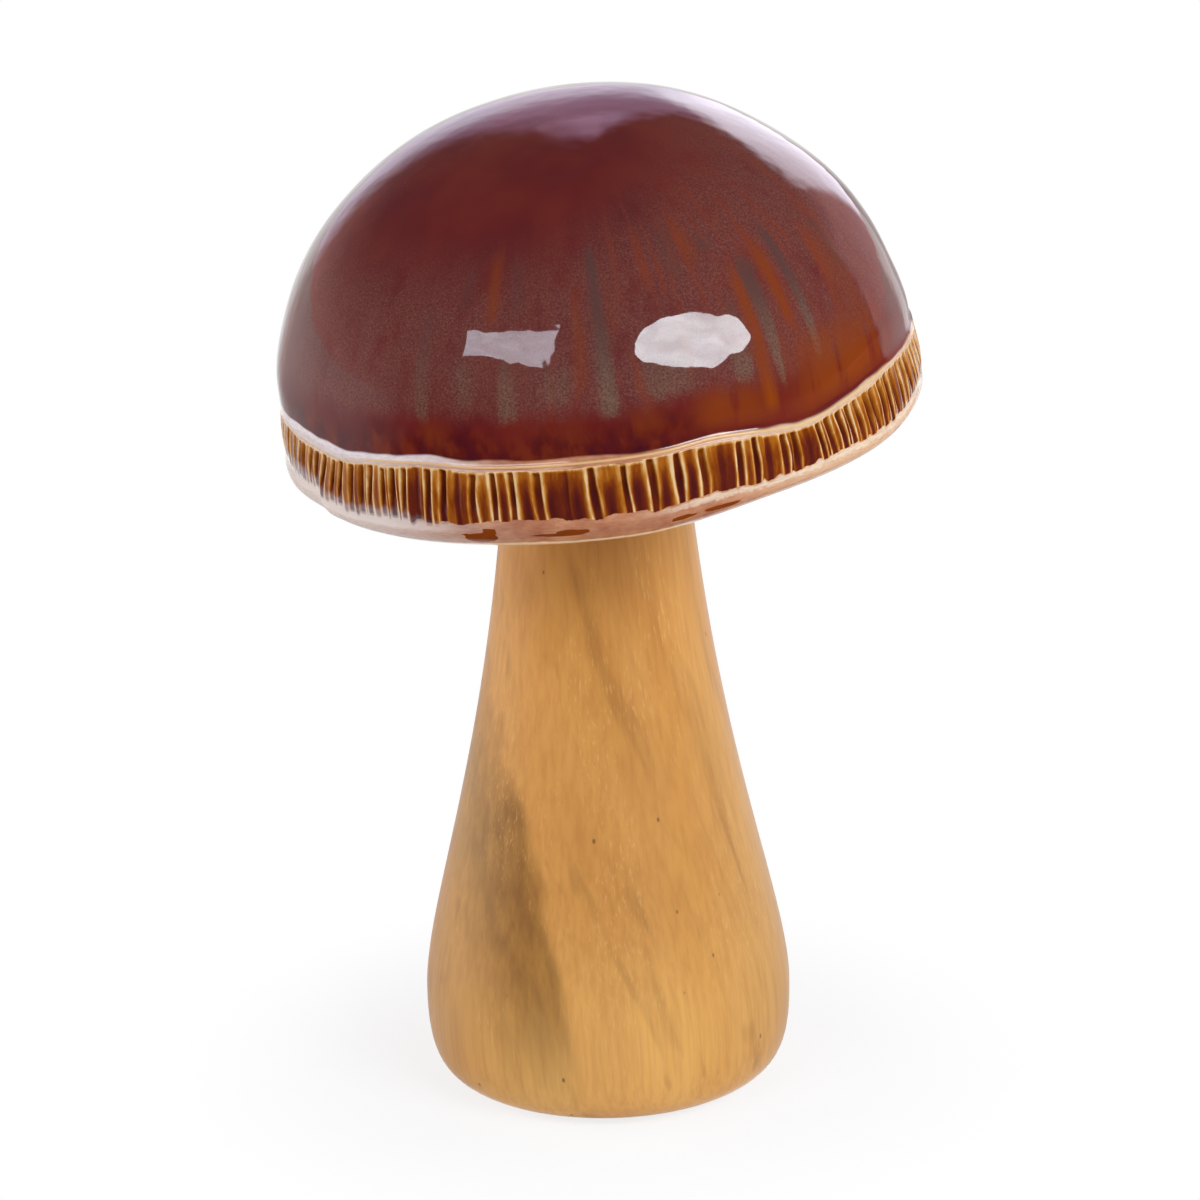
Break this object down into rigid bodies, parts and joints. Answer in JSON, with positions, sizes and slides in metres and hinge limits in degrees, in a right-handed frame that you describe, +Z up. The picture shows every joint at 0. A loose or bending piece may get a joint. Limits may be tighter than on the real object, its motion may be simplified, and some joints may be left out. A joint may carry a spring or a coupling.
{
  "type": "toadstool ornament",
  "caption": "Standing toadstool ornament: a hollow domed ceramic cap in a glossy brown glaze with a carved gill band, pinned and glued at a slight tilt on a turned wooden stem.",
  "frame": {"origin": "centre of the felt pad's underside, on the stem's turning axis, where the ornament stands", "axes": "+Z up along the stem's turning axis; -Y is the pictured front; the cap is tilted about Y, raised on its +X side"},
  "size_m": [0.1122, 0.1124, 0.181],
  "materials": {
    "glazed_stoneware": "glossy reactive glaze, dark red-brown with grey and amber runs",
    "turned_wood": "satin oil, straight grain",
    "dowel_wood": "raw beech",
    "dried_glue": "set adhesive",
    "felt": "pressed felt"
  },
  "bodies": {
    "root": {"cap": "glazed_stoneware", "stem": "turned_wood", "dowel": "dowel_wood", "glue_ring": "dried_glue", "felt_pad": "felt"}
  },
  "joints": []
}
